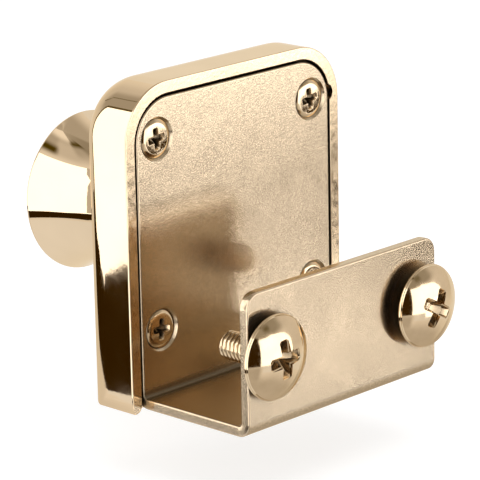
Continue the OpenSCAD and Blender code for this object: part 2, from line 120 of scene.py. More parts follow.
# Fine sizes of this scene's own; the gap round the plate is tighter than the source's, the plate screws'
# shanks are slimmer and the cross recesses differ slightly in depth
plate_clearance = 0.4
thread_pitch = 0.7
thread_depth = 0.25
clamp_cross_half = 0.85
clamp_cross_depth = 1.6
seat_room = 0.03
plate_shank_r = 1.45
plate_cross_half = 0.5
plate_cross_depth = 1.2
rim_round = 0.2
front_round = 0.6
mouth_round = 0.08
sheet_round = 0.26
spigot_play = 0.05
hidden_corner_r = 0.5
pole_r = 0.02

# How far a cutter stands out of what it cuts, how far the housing's skin and the cutters run on below its
# foot until the foot is cut, and how far one hollow runs into the next
over = 1
skirt = 6
skirt_cut = 9
overlap = 0.5

# Smoothness of the modelled pieces
ARC_STEPS = 14
EDGE_STEPS = 5
LATHE_STEPS = 96
HOLE_STEPS = 64
NOTCH_STEPS = 32
KNOB_STEPS = 128
FLARE_STEPS = 32
DISH_STEPS = 16
THREAD_STEPS = 48
RINGS_PER_TURN = 10
DOME_STEPS = 24

# Screws by node: the turn of the cross recess in degrees
plate_screws = {
    "plate_screw_upper_left": 7,
    "plate_screw_upper_right": 10,
    "plate_screw_lower_left": -4,
    "plate_screw_lower_right": 12,
}
clamp_screws = {"clamp_screw_left": 6, "clamp_screw_right": -28}
screw_bodies = {"clamp_screw_left": "left_screw", "clamp_screw_right": "right_screw"}

# How far the clamp screws' heads stand off the lip at rest
head_gaps = {"clamp_screw_left": 1.2, "clamp_screw_right": 1.5}


def smoothstep(low, high, value):
    t = min(max((value - low) / (high - low), 0), 1)
    return t * t * (3 - 2 * t)


def quarter(steps):
    """Sine and cosine at even steps over a quarter turn."""
    turns = [math.pi / 2 * i / steps for i in range(steps + 1)]
    return [(math.sin(a), math.cos(a)) for a in turns]


def full_turn(steps):
    return [2 * math.pi * i / steps for i in range(steps)]


def arc_radius(inset, rise):
    """Radius of the arc that leaves a straight side and draws in by an inset over a rise."""
    return (rise ** 2 + inset ** 2) / (2 * inset)


def loft(rings, ends=True):
    """A skin over rings of equal length, closed by end faces or by joining the last ring to the first."""
    bm = bmesh.new()
    rows = [[bm.verts.new(point) for point in ring] for ring in rings]
    pairs = list(zip(rows, rows[1:]))
    if not ends:
        pairs.append((rows[-1], rows[0]))
    for row, following in pairs:
        for i in range(len(row)):
            j = (i + 1) % len(row)
            bm.faces.new((row[i], row[j], following[j], following[i]))
    if ends:
        bm.faces.new(rows[0][::-1])
        bm.faces.new(rows[-1])
    return bm


def panel_outline(half, bottom, top, foot_r, top_r, side_steps=1):
    """Points and outward normals of an upright panel with rounded corners, as (x, z, nx, nz)."""
    corners = [
        (half - foot_r, bottom + foot_r, foot_r, -90),
        (half - top_r, top - top_r, top_r, 0),
        (top_r - half, top - top_r, top_r, 90),
        (foot_r - half, bottom + foot_r, foot_r, 180),
    ]
    arcs = []
    for x, z, r, start in corners:
        turns = [math.radians(start + 90 * i / ARC_STEPS) for i in range(ARC_STEPS + 1)]
        arcs.append([(x + r * math.cos(a), z + r * math.sin(a), math.cos(a), math.sin(a)) for a in turns])
    outline = []
    for arc, following in zip(arcs, arcs[1:] + arcs[:1]):
        outline += arc
        for i in range(1, side_steps):
            t = i / side_steps
            outline.append(tuple(a + (b - a) * t for a, b in zip(arc[-1], following[0])))
    return outline


def ring_at(outline, inset, y):
    return [(x - nx * inset, y, z - nz * inset) for x, z, nx, nz in outline]


def turned_rings(profile, steps):
    """Rings about Z from (radius, height) pairs."""
    turns = full_turn(steps)
    return [[(r * math.cos(a), r * math.sin(a), h) for a in turns] for r, h in profile]


def lathe(profile, steps, ends=True):
    return loft(turned_rings(profile, steps), ends)


def along_y(x, y, z, towards=1):
    """Carries what is built along +Z to a point, pointing along +Y or -Y."""
    return Matrix.Translation((x, y, z)) @ Matrix.Rotation(math.radians(-90 * towards), 4, "X")


def new_object(name, bm, place=None):
    if place is not None:
        bm.transform(place)
    bmesh.ops.recalc_face_normals(bm, faces=bm.faces)
    mesh = bpy.data.meshes.new(name)
    bm.to_mesh(mesh)
    bm.free()
    made = bpy.data.objects.new(name, mesh)
    bpy.context.scene.collection.objects.link(made)
    return made


def block(low, high):
    low = Vector(low)
    high = Vector(high)
    size = high - low
    bm = bmesh.new()
    bmesh.ops.create_cube(bm, size=1)
    bm.transform(Matrix.Translation((low + high) / 2) @ Matrix.Diagonal((*size, 1)))
    return new_object("cutter", bm)


def cut(piece, *cutters):
    for cutter in cutters:
        modifier = piece.modifiers.new("cut", "BOOLEAN")
        modifier.operation = "DIFFERENCE"
        modifier.solver = "EXACT"
        modifier.object = cutter
    evaluated = piece.evaluated_get(bpy.context.evaluated_depsgraph_get())
    piece.data = bpy.data.meshes.new_from_object(evaluated)
    piece.modifiers.clear()
    for cutter in cutters:
        bpy.data.objects.remove(cutter)


def dress(piece, body, node, material):
    """Brings a piece to metres, shades it and puts it in the place of its node."""
    sharp_angle = 32
    mesh = piece.data
    mesh.transform(Matrix.Scale(MM, 4))
    mesh.shade_smooth()
    mesh.set_sharp_from_angle(angle=math.radians(sharp_angle))
    weighted = piece.modifiers.new("flat_walls", "WEIGHTED_NORMAL")
    weighted.keep_sharp = True
    mesh.materials.clear()
    mesh.materials.append(material)
    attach(piece, body)
    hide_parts(node)


# Housing: a polished casting, its front edges rounded, open at the back for the plate
def edge_profile():
    """The front edge as (inset, reach to the front): a wide arc, then a tight one into the front face."""
    wide = arc_radius(edge_inset, edge_fillet)
    meet = math.asin((edge_fillet - front_round) / (wide - front_round))
    profile = []
    for i in range(ARC_STEPS + 1):
        a = meet * i / ARC_STEPS
        profile.append((wide * (1 - math.cos(a)), wide * math.sin(a)))
    centre = wide - (wide - front_round) * math.cos(meet)
    start = edge_fillet - front_round
    for i in range(1, EDGE_STEPS + 1):
        a = meet + (math.pi / 2 - meet) * i / EDGE_STEPS
        profile.append((centre - front_round * math.cos(a), start + front_round * math.sin(a)))
    return profile


def housing_skin():
    """The outer skin, carried on below the foot."""
    skirt_corner_r = 2
    side_steps = 12
    outline = panel_outline(housing_high.x, foot_z - skirt, housing_high.z, skirt_corner_r, housing_corner_r,
                            side_steps)
    rings = []
    for sine, cosine in quarter(EDGE_STEPS):
        rings.append(ring_at(outline, rim_round * (1 - sine), rim_y - rim_round * (1 - cosine)))
    for inset, reach in edge_profile():
        rings.append(ring_at(outline, inset, front_y + edge_fillet - reach))
    return loft(rings)


def arc_waste(inset, rise, axis, edge, inwards, start, end):
    """What an arc cuts off above the foot: edge is its place on an axis, inwards the way it draws in."""
    radius = arc_radius(inset, rise)
    section = [(-over, rise), (-over, -over), (inset, -over)]
    for i in range(ARC_STEPS + 1):
        up = rise * i / ARC_STEPS
        section.append((radius - math.sqrt(radius ** 2 - (rise - up) ** 2), up))
    rings = []
    for along in (start, end):
        points = [(edge + inwards * u, foot_z + up) for u, up in section]
        if axis == "X":
            rings.append([(across, along, z) for across, z in points])
        else:
            rings.append([(along, across, z) for across, z in points])
    return new_object("cutter", loft(rings))


def foot_cutters():
    """The flat foot, the sides that draw in above it, the rim's rounded ends and the foot's front edge."""
    wide = housing_high.x + over
    mouth = half_w + plate_clearance
    front = front_y - over
    back = rim_y + over
    cutters = [block((-wide, front, foot_z - skirt_cut), (wide, back, foot_z))]
    for side in (-1, 1):
        cutters.append(arc_waste(foot_inset, foot_lean_h, "X", side * housing_high.x, -side, front, back))
        cutters.append(arc_waste(rim_end_r, rim_end_r, "X", side * mouth, side, plate_back, back))
    cutters.append(arc_waste(foot_fillet, foot_fillet, "Y", front_y, 1, -wide, wide))
    return cutters


def plate_recess():
    """The plate's bed, with a rounded mouth that runs out just above the rim."""
    side_steps = 4
    crossing = math.radians(75)
    half = half_w + plate_clearance
    top = plate_top + plate_clearance
    outline = panel_outline(half, foot_z - skirt_cut, top, hidden_corner_r, plate_corner_r + plate_clearance,
                            side_steps)
    start_y = rim_y - mouth_round * math.sin(crossing)
    rings = [ring_at(outline, 0, plate_back)]
    for sine, cosine in quarter(EDGE_STEPS):
        rings.append(ring_at(outline, -mouth_round * (1 - cosine), start_y + mouth_round * sine))
    rings.append(ring_at(outline, -mouth_round, rim_y + over))
    return new_object("cutter", loft(rings))


def housing_pocket():
    top = plate_top - ledge_w
    outline = panel_outline(half_w - ledge_w, floor_z, top, hidden_corner_r, plate_corner_r - ledge_w)
    reach = (front_y + front_wall, plate_back + overlap)
    return new_object("cutter", loft([ring_at(outline, 0, y) for y in reach]))


def spigot_hole():
    hole_depth = 3
    flat = spigot_flat + spigot_play
    r = spigot_r + spigot_play
    section = [(min(max(r * math.cos(a), -flat), flat), r * math.sin(a)) for a in full_turn(LATHE_STEPS)]
    reach = (front_y - over, front_y + hole_depth)
    return new_object("cutter", loft([[(x, y, axis_z + z) for x, z in section] for y in reach]))


def relief_notch():
    """The half-round relief in the rim beside the upper right screw."""
    notch_depth = 4
    place = along_y(-(half_w + notch_reach - notch_r), plate_back, plate_top - notch_drop)
    return new_object("cutter", lathe([(notch_r, 0), (notch_r, notch_depth)], NOTCH_STEPS), place)


def bolt_slot():
    half = bolt_nose_half + slot_play
    low = (-half, front_y + front_wall, foot_z - over)
    high = (half, plate_back + overlap, floor_z + over)
    return block(low, high)


def build_housing(material):
    piece = new_object("housing_shell", housing_skin())
    cut(piece, plate_recess(), *foot_cutters())
    cut(piece, housing_pocket(), spigot_hole(), relief_notch(), bolt_slot())
    dress(piece, "lock_body", "housing", material)


# Clamp bracket: a flat blank with rounded edges, bent round the glass
bend_arc = bend_r * math.pi / 2
straight_lip = lip_top - bend_r
straight_web = lip_face - plate_face - 2 * bend_r


def bend_point(x, s, t):
    """Carries a point of the blank to the bent sheet: s from the lip's end, t out of the inner face."""
    if s < straight_lip:
        return x, lip_face + t, lip_top - s
    s -= straight_lip
    if s < bend_arc:
        a = s / bend_r
        return x, lip_face - bend_r + (bend_r + t) * math.cos(a), bend_r - (bend_r + t) * math.sin(a)
    s -= bend_arc
    if s < straight_web:
        return x, lip_face - bend_r - s, -t
    s -= straight_web
    if s < bend_arc:
        a = s / bend_r
        return x, plate_face + bend_r - (bend_r + t) * math.sin(a), bend_r - (bend_r + t) * math.cos(a)
    return x, plate_face - t, bend_r + s - bend_arc


def bracket_blank():
    """The flat sheet, with its edges rounded on both faces and cut across at every step of the bends."""
    first = straight_lip
    second = first + bend_arc + straight_web
    length = second + bend_arc + plate_top - bend_r
    outline = panel_outline(half_w, 0, length, lip_corner_r, plate_corner_r)
    far = sheet_t - sheet_round
    rings = [ring_at(outline, sheet_round * (1 - s), sheet_round * (1 - c)) for s, c in quarter(EDGE_STEPS)]
    rings += [ring_at(outline, sheet_round * (1 - c), far + sheet_round * s) for s, c in quarter(EDGE_STEPS)]
    bm = loft(rings)
    for start in (first, second):
        for i in range(ARC_STEPS + 1):
            geometry = bm.verts[:] + bm.edges[:] + bm.faces[:]
            plane = (0, 0, start + bend_arc * i / ARC_STEPS)
            bmesh.ops.bisect_plane(bm, geom=geometry, plane_co=plane, plane_no=(0, 0, 1))
    return bm


def screw_axis(node):
    low, high = box_mm(node)
    return (low.x + high.x) / 2, (low.z + high.z) / 2


def countersunk_hole(node):
    reach = 3
    lead_w = 0.12
    lead_h = 0.05
    clear_w = 0.2
    x, z = screw_axis(node)
    depth = sink_r - plate_hole_r
    profile = [(plate_hole_r, -reach), (plate_hole_r, -depth), (sink_r, 0)]
    profile += [(sink_r + lead_w, lead_h), (sink_r + clear_w, over)]
    return new_object("cutter", lathe(profile, HOLE_STEPS), along_y(x, plate_face, z))


def threaded_hole(node):
    chamfer = 0.15
    x, z = screw_axis(node)
    half = sheet_t / 2
    edge = [(lip_hole_r + chamfer + over, -half - over), (lip_hole_r, -half + chamfer)]
    profile = edge + [(r, -h) for r, h in reversed(edge)]
    return new_object("cutter", lathe(profile, HOLE_STEPS), along_y(x, (lip_face + lip_back) / 2, z))


def build_bracket(material):
    bm = bracket_blank()
    for v in bm.verts:
        v.co = bend_point(v.co.x, v.co.z, v.co.y)
    piece = new_object("bent_bracket", bm)
    holes = [countersunk_hole(node) for node in plate_screws]
    holes += [threaded_hole(node) for node in clamp_screws]
    cut(piece, *holes)
    dress(piece, "lock_body", "clamp_bracket", material)


# Screws: turned heads, a cross recess and a cut thread
def cross_ring(reach, half, z):
    """A cross of four arms with slightly rounded ends."""
    round_share = 0.35
    round_r = half * round_share
    arm = [(half, half), (reach - round_r, half), (reach, half - round_r)]
    arm += [(reach, round_r - half), (reach - round_r, -half)]
    ring = []
    for c, s in ((1, 0), (0, 1), (-1, 0), (0, -1)):
        ring += [(x * c + y * s, y * c - x * s, z) for x, y in arm]
    return ring


def cross_recess(reach, half, mouth, depth, turn, place):
    """Four tapering arms with chamfered mouths round a pilot cone; mouth is the height of the arms' ends."""
    chamfer_h = 0.12
    waist = 0.6
    # Shares of the arms' reach and half width, and the height from the mouth
    taper = [(1.05, 1.15, over), (1, 1, 0), (0.94, 0.84, -chamfer_h), (0.78, 0.74, -depth * waist)]
    # The tip's reach and half width as shares of the arms' half width
    tip = (0.75, 0.4)
    rings = [cross_ring(reach * long, half * wide, mouth + up) for long, wide, up in taper]
    rings.append(cross_ring(half * tip[0], half * tip[1], mouth - depth))
    return new_object("cutter", loft(rings), place @ Matrix.Rotation(math.radians(turn), 4, "Z"))


def thread_radius(turn, height, root):
    """A thread with wide crests and rounded roots."""
    crest_half = 0.18
    phase = (height / thread_pitch - turn / (2 * math.pi)) % 1
    return root + (thread_r - root) * (1 - smoothstep(crest_half, 0.5, abs(phase - 0.5)))


def threaded_rings(length):
    """Rings of the shank from its chamfered tip up to the plain neck under the head."""
    tip_share = 0.9
    tip_slope = 0.9
    tip_start = 0.02
    root = thread_r - thread_depth
    count = int(length / thread_pitch * RINGS_PER_TURN)
    rings = turned_rings([(tip_share * root, -length)], THREAD_STEPS)
    for k in range(count + 1):
        height = -length + length * k / count
        ring = []
        for a in full_turn(THREAD_STEPS):
            r = thread_radius(a, height, root)
            r = min(r, root + (height + length) * tip_slope + tip_start)
            r = root if height > -thread_depth else r
            ring.append((r * math.cos(a), r * math.sin(a), height))
        rings.append(ring)
    return rings


def dome_profile(head_r, dome_r):
    """A domed head from its under face up, with rounded edges."""
    under_r = 0.08
    under_steps = 3
    edge_r = 0.28
    edge_steps = 6
    dome_start = 0.7
    low = seat_room + under_r
    high = head_edge - edge_r
    profile = [(head_r - under_r + under_r * s, low - under_r * c) for s, c in quarter(under_steps)]
    profile += [(head_r - edge_r + edge_r * c, high + edge_r * s) for s, c in quarter(edge_steps)[:-2]]
    edge_angle = math.asin((head_r - edge_r * dome_start) / dome_r)
    for i in range(DOME_STEPS):
        a = edge_angle * (1 - i / DOME_STEPS)
        profile.append((dome_r * math.sin(a), clamp_head_h - dome_r + dome_r * math.cos(a)))
    profile.append((pole_r, clamp_head_h))
    return profile


def build_clamp_screw(node, turn, material):
    low, high = box_mm(node)
    x, z = screw_axis(node)
    head_r = (high.x - low.x) / 2
    under_y = lip_back + head_gaps[node]
    dome_h = clamp_head_h - head_edge
    dome_r = (head_r ** 2 + dome_h ** 2) / (2 * dome_h)
    rings = threaded_rings(under_y - low.y)
    rings += turned_rings(dome_profile(head_r, dome_r), THREAD_STEPS)
    place = along_y(x, under_y, z)
    piece = new_object(node + "_turned", loft(rings), place)
    mouth = clamp_head_h - dome_r + math.sqrt(dome_r ** 2 - clamp_cross_reach ** 2)
    cut(piece, cross_recess(clamp_cross_reach, clamp_cross_half, mouth, clamp_cross_depth, turn, place))
    dress(piece, screw_bodies[node], node, material)


def build_plate_screw(node, turn, material):
    tip_chamfer = 0.3
    ease = 0.03
    brink = 0.05
    mouth = -0.01
    # Where the head's chamfered ring ends: steps in from its rim and down from its top
    ring_end = [(0.5, 0.03), (0.56, 0.005), (0.65, 0)]
    low, high = box_mm(node)
    x, z = screw_axis(node)
    head_r = (high.x - low.x) / 2
    length = high.y - low.y
    cone = head_r - plate_shank_r
    profile = [(plate_shank_r - tip_chamfer, -length), (plate_shank_r, tip_chamfer - length)]
    profile += [(plate_shank_r, -cone - head_rise), (head_r - ease, -head_rise - ease)]
    profile += [(head_r, -head_rise), (head_r - brink, brink - head_rise)]
    profile += [(head_r - inwards, -down) for inwards, down in ring_end]
    profile.append((pole_r, 0))
    place = along_y(x, high.y, z)
    piece = new_object(node + "_turned", lathe(profile, HOLE_STEPS), place)
    cut(piece, cross_recess(plate_cross_reach, plate_cross_half, mouth, plate_cross_depth, turn, place))
    dress(piece, "lock_body", node, material)


# Knob: a turned flare with a dished end, bored for the key plug
def flare_profile():
    """From the neck's foot along the flare and over the rim."""
    foot = 0.25
    foot_ease = 0.07
    rim_steps = 8
    rim = knob_high.x
    rim_h = knob_len - knob_rim_r
    flare_len = rim_h - neck_len
    flare_r = arc_radius(rim - neck_r, flare_len)
    sweep = math.asin(flare_len / flare_r)
    profile = [(neck_r - foot, 0), (neck_r - foot_ease, foot_ease), (neck_r, foot), (neck_r, neck_len)]
    for i in range(1, FLARE_STEPS + 1):
        a = sweep * i / FLARE_STEPS
        profile.append((neck_r + flare_r * (1 - math.cos(a)), neck_len + flare_r * math.sin(a)))
    profile += [(rim - knob_rim_r * (1 - c), rim_h + knob_rim_r * s) for s, c in quarter(rim_steps)[1:]]
    return profile


def face_profile():
    """From the rim over the dished end into the plug's recess."""
    dish = 0.35
    land = 0.9
    rim_land = 0.5
    bevel = 0.2
    inner = face_recess_r + land
    outer = knob_high.x - knob_rim_r - rim_land
    end = knob_len - dish
    recess_h = knob_len - face_recess_depth
    profile = []
    for i in range(DISH_STEPS + 1):
        t = i / DISH_STEPS
        drop = dish * math.sin(math.pi / 2 * smoothstep(0, 1, t))
        profile.append((outer + (inner - outer) * t, knob_len - drop))
    profile += [(face_recess_r + bevel, end), (face_recess_r, end - bevel), (face_recess_r, recess_h)]
    profile.append((bore_r, recess_h))
    return profile


def spigot_profile():
    """From the bore's inner end over the spigot and its clip groove to the front wall."""
    groove = -front_wall - clip_room
    profile = [(bore_r, -spigot_in), (spigot_r, -spigot_in), (spigot_r, groove), (groove_r, groove)]
    profile += [(groove_r, -front_wall), (spigot_r, -front_wall), (spigot_r, 0)]
    return profile


def spigot_flats():
    half_h = 9
    start = 0.001
    length = 4
    flats = []
    for side in (-1, 1):
        ends = sorted((side * spigot_flat, side * (spigot_r + over)))
        low = (ends[0], front_y + start, axis_z - half_h)
        high = (ends[1], front_y + length, axis_z + half_h)
        flats.append(block(low, high))
    return flats


def build_knob(material):
    profile = flare_profile() + face_profile() + spigot_profile()
    turned = lathe(profile, KNOB_STEPS, ends=False)
    piece = new_object("flared_knob", turned, along_y(0, front_y, axis_z, -1))
    cut(piece, *spigot_flats())
    dress(piece, "lock_body", "knob", material)


# Finishes: every one is metal with a colour, a gloss and a surface that vary over the piece
# Painted shade: a dark brown colour and a rougher gloss that the metals take on in crevices, where ambient
# occlusion finds them, and along the bracket's inner bend
PAINTED_SHADE_COLOUR = (0.035, 0.025, 0.012)
PAINTED_SHADE_ROUGHNESS = 0.5
PAINTED_BEND_SHADE = 0.8
SHELTER_RANGE = (0.3, 0.9)
SHELTER_SAMPLES = 12
PATCH_RANGE = (0.3, 0.7)
FACING_RANGE = (0.85, 0.98)
GILT_EDGE = (0.95, 0.87, 0.73)
STEEL_EDGE = (0.95, 0.95, 0.95)


def map_range(nodes, links, value, source, target):
    """A smooth step of a value from one range to another."""
    node = nodes.new("ShaderNodeMapRange")
    node.interpolation_type = "SMOOTHSTEP"
    node.inputs["From Min"].default_value = source[0]
    node.inputs["From Max"].default_value = source[1]
    node.inputs["To Min"].default_value = target[0]
    node.inputs["To Max"].default_value = target[1]
    links.new(value, node.inputs["Value"])
    return node.outputs["Result"]


def mix(nodes, links, kind, factor, first, second):
    """Blends two values or colours by a factor; second may be a plain value."""
    socket_type = {"FLOAT": "VALUE", "RGBA": "RGBA"}[kind]
    node = nodes.new("ShaderNodeMix")
    node.data_type = kind
    sockets = [s for s in node.inputs if s.type == socket_type and s.enabled]
    blend_a, blend_b = sockets[-2:]
    links.new(factor, node.inputs["Factor"])
    links.new(first, blend_a)
    if isinstance(second, (tuple, float)):
        blend_b.default_value = second
    else:
        links.new(second, blend_b)
    return [s for s in node.outputs if s.enabled][0]


def patches(nodes, links, place, size, detail=2):
    """Noise in patches of a size in millimetres."""
    texture = nodes.new("ShaderNodeTexNoise")
    texture.inputs["Scale"].default_value = 1 / (size * MM)
    texture.inputs["Detail"].default_value = detail
    links.new(place.outputs["Object"], texture.inputs["Vector"])
    return texture.outputs["Fac"]


def mottled_colour(nodes, links, place, dark, light, size):
    ramp = nodes.new("ShaderNodeValToRGB")
    for element, position, colour in zip(ramp.color_ramp.elements, PATCH_RANGE, (dark, light)):
        element.position = position
        element.color = (*colour, 1)
    links.new(patches(nodes, links, place, size), ramp.inputs["Fac"])
    return ramp.outputs["Color"]


def face_share(nodes, links, place, axis, both_ways):
    """1 on faces that look along an axis, or both ways along it, and 0 elsewhere."""
    parts = nodes.new("ShaderNodeSeparateXYZ")
    links.new(place.outputs["Normal"], parts.inputs["Vector"])
    along = parts.outputs[axis]
    if both_ways:
        size = nodes.new("ShaderNodeMath")
        size.operation = "ABSOLUTE"
        links.new(along, size.inputs[0])
        along = size.outputs["Value"]
    return map_range(nodes, links, along, FACING_RANGE, (0, 1))


def painted_crevice_shade(nodes, links, width):
    # Painted shade in crevices: 1 where ambient occlusion within the width finds the surface sheltered,
    # fading to 0 in the open
    shelter = nodes.new("ShaderNodeAmbientOcclusion")
    shelter.samples = SHELTER_SAMPLES
    shelter.inputs["Distance"].default_value = width * MM
    return map_range(nodes, links, shelter.outputs["AO"], SHELTER_RANGE, (1, 0))


def larger(nodes, links, first, second):
    node = nodes.new("ShaderNodeMath")
    node.operation = "MAXIMUM"
    links.new(first, node.inputs[0])
    links.new(second, node.inputs[1])
    return node.outputs["Value"]


def add_painted_bend_shade(nodes, links, place, painted_shade, y, z, reach):
    """Adds painted shade along a line in X to the painted shade of the crevices."""
    across = nodes.new("ShaderNodeVectorMath")
    across.operation = "MULTIPLY"
    across.inputs[1].default_value = (0, 1, 1)
    links.new(place.outputs["Object"], across.inputs[0])
    away = nodes.new("ShaderNodeVectorMath")
    away.operation = "DISTANCE"
    away.inputs[1].default_value = (0, y * MM, z * MM)
    links.new(across.outputs["Vector"], away.inputs[0])
    # Painted shade along the bend, strongest on the line and fading out over the reach
    bend_shade = map_range(nodes, links, away.outputs["Value"], (0, reach * MM), (PAINTED_BEND_SHADE, 0))
    return larger(nodes, links, painted_shade, bend_shade)


def relief(nodes, links, height, depth):
    """A bump of a depth in millimetres."""
    bump = nodes.new("ShaderNodeBump")
    bump.inputs["Distance"].default_value = depth * MM
    links.new(height, bump.inputs["Height"])
    return bump


def metal(name, dark, light, mottle, gloss, gloss_size, grain, grain_size, wave, wave_size,
          face=None, crevice=0.8, edge=GILT_EDGE, bend=None):
    """Metal whose colours blend over mottle-sized patches, with fine grain and long waves.

    Sizes and depths are in millimetres; gloss is a roughness range over patches of gloss_size. face names
    the faces that differ: axis, whether both ways along it, roughness range and grain depth. Painted shade
    darkens crevices of the given width, found by ambient occlusion, and along bend, a line in X given by its
    Y, its Z and the painted shade's reach.
    edge is the colour of glancing reflections.
    """
    material = bpy.data.materials.new(name)
    material.use_nodes = True
    nodes = material.node_tree.nodes
    links = material.node_tree.links
    place = nodes.new("ShaderNodeTexCoord")
    shader = nodes["Principled BSDF"]
    shader.inputs["Metallic"].default_value = 1.0
    shader.inputs["Specular Tint"].default_value = (*edge, 1)

    colour = mottled_colour(nodes, links, place, dark, light, mottle)
    roughness = map_range(nodes, links, patches(nodes, links, place, gloss_size), PATCH_RANGE, gloss)
    waves = relief(nodes, links, patches(nodes, links, place, wave_size, 1), wave)
    grains = relief(nodes, links, patches(nodes, links, place, grain_size), grain)
    if face is not None:
        axis, both_ways, face_gloss, face_grain = face
        facing = face_share(nodes, links, place, axis, both_ways)
        face_patches = patches(nodes, links, place, grain_size * 2)
        face_roughness = map_range(nodes, links, face_patches, PATCH_RANGE, face_gloss)
        roughness = mix(nodes, links, "FLOAT", facing, roughness, face_roughness)
        depth = map_range(nodes, links, facing, (0, 1), (grain * MM, face_grain * MM))
        links.new(depth, grains.inputs["Distance"])
    # Painted shade: the crevices, and the bend where one is given, are darkened to a dark brown and made
    # rougher
    painted_shade = painted_crevice_shade(nodes, links, crevice)
    if bend is not None:
        painted_shade = add_painted_bend_shade(nodes, links, place, painted_shade, *bend)
    colour = mix(nodes, links, "RGBA", painted_shade, colour, (*PAINTED_SHADE_COLOUR, 1))
    roughness = mix(nodes, links, "FLOAT", painted_shade, roughness, PAINTED_SHADE_ROUGHNESS)

    links.new(colour, shader.inputs["Base Color"])
    links.new(roughness, shader.inputs["Roughness"])
    links.new(waves.outputs["Normal"], grains.inputs["Normal"])
    links.new(grains.outputs["Normal"], shader.inputs["Normal"])
    return material


# crevice is the width of each metal's painted shade in crevices; bend gives satin_gold a line of painted
# shade along the bracket's inner bend
polished_gold = metal(
    "polished_gold", dark=(0.72, 0.565, 0.385), light=(0.77, 0.605, 0.415), mottle=8, gloss=(0.02, 0.035),
    gloss_size=3, grain=0.0004, grain_size=0.5, wave=0.005, wave_size=5,
    face=("Y", False, (0.11, 0.18), 0.0035))
satin_gold = metal(
    "satin_gold", dark=(0.47, 0.378, 0.268), light=(0.66, 0.53, 0.375), mottle=0.18, gloss=(0.165, 0.195),
    gloss_size=4, grain=0.007, grain_size=0.2, wave=0.003, wave_size=5,
    face=("X", True, (0.07, 0.14), 0.012), crevice=2.3, bend=(plate_face, 0, 1.8))
screw_gold = metal(
    "screw_gold", dark=(0.67, 0.52, 0.345), light=(0.73, 0.57, 0.385), mottle=2, gloss=(0.06, 0.12),
    gloss_size=1, grain=0.001, grain_size=0.3, wave=0.002, wave_size=3, crevice=1.4)
plug_brass = metal(
    "plug_brass", dark=(0.60, 0.44, 0.20), light=(0.72, 0.55, 0.29), mottle=2, gloss=(0.2, 0.30),
    gloss_size=0.8, grain=0.0012, grain_size=0.25, wave=0.002, wave_size=3)
spring_steel = metal(
    "spring_steel", dark=(0.42, 0.42, 0.42), light=(0.55, 0.55, 0.54), mottle=1, gloss=(0.2, 0.32),
    gloss_size=0.6, grain=0.003, grain_size=0.3, wave=0.002, wave_size=3, crevice=0.3, edge=STEEL_EDGE)
bolt_steel = metal(
    "bolt_steel", dark=(0.50, 0.49, 0.47), light=(0.62, 0.61, 0.59), mottle=2, gloss=(0.22, 0.34),
    gloss_size=0.8, grain=0.005, grain_size=0.3, wave=0.002, wave_size=4, crevice=0.3, edge=STEEL_EDGE)

build_housing(polished_gold)
build_bracket(satin_gold)
for node, turn in plate_screws.items():
    build_plate_screw(node, turn, screw_gold)
for node, turn in clamp_screws.items():
    build_clamp_screw(node, turn, screw_gold)
build_knob(polished_gold)


# Nodes that stay: their finish is set, and their edges are eased but for the fine springs
def set_finish(node, material):
    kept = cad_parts[node]
    kept.data.materials.clear()
    kept.data.materials.append(material)
    return kept


def finish_node(node, material, ease):
    weld_distance = 0.002
    eased_angle = 40
    kept = set_finish(node, material)
    weld = kept.modifiers.new("weld", "WELD")
    weld.merge_threshold = weld_distance * MM
    bevel = kept.modifiers.new("ease", "BEVEL")
    bevel.width = ease * MM
    bevel.segments = 2
    bevel.limit_method = "ANGLE"
    bevel.angle_limit = math.radians(eased_angle)


finish_node("key_plug", plug_brass, ease=0.12)
finish_node("pinion", plug_brass, ease=0.05)
finish_node("lock_bolt", bolt_steel, ease=0.15)
finish_node("knob_clip", spring_steel, ease=0.06)
finish_node("plug_clip", spring_steel, ease=0.06)
for i in range(1, 6):
    finish_node(f"wafer_{i}", plug_brass, ease=0.04)
set_finish("wafer_springs", spring_steel)


# Studio: a pale floor, a white surround and soft cards that only reflections see
PANEL_STEP = 5
CANOPY_STEP = 2
CANOPY_DISTANCE = 12000


def build_world():
    """A surround that is white where it is seen or mirrored, and lights the floor at half that level."""
    fill = 0.5
    white = 1.0
    world = bpy.data.worlds.new("studio")
    bpy.context.scene.world = world
    world.use_nodes = True
    nodes = world.node_tree.nodes
    links = world.node_tree.links
    background = nodes["Background"]
    background.inputs["Color"].default_value = (1, 1, 1, 1)
    path = nodes.new("ShaderNodeLightPath")
    seen = larger(nodes, links, path.outputs["Is Camera Ray"], path.outputs["Is Glossy Ray"])
    seen = larger(nodes, links, seen, path.outputs["Is Transmission Ray"])
    level = nodes.new("ShaderNodeMapRange")
    level.inputs["To Min"].default_value = fill
    level.inputs["To Max"].default_value = white
    links.new(seen, level.inputs["Value"])
    links.new(level.outputs["Result"], background.inputs["Strength"])


def warm(level):
    """The colour of a panel's light: the darker, the browner."""
    green_loss = 0.045
    green_power = -0.85
    least_green = 0.45
    blue_loss = 0.105
    least_blue = 0.03
    green = max(1 - green_loss * level ** green_power, least_green)
    blue = max(1 - blue_loss / level, least_blue)
    return level, level * green, level * blue


def emitter(name):
    """Light with the colour that the mesh's points carry."""
    material = bpy.data.materials.new(name)
    material.use_nodes = True
    nodes = material.node_tree.nodes
    links = material.node_tree.links
    nodes.clear()
    carried = nodes.new("ShaderNodeAttribute")
    carried.attribute_name = "light"
    light = nodes.new("ShaderNodeEmission")
    links.new(carried.outputs["Color"], light.inputs["Color"])
    output = nodes.new("ShaderNodeOutputMaterial")
    links.new(light.outputs["Emission"], output.inputs["Surface"])
    return material


def outward(azimuth, elevation, distance):
    turn = math.radians(azimuth)
    rise = math.radians(elevation)
    level = math.cos(rise)
    return Vector((math.cos(turn) * level, math.sin(turn) * level, math.sin(rise))) * distance


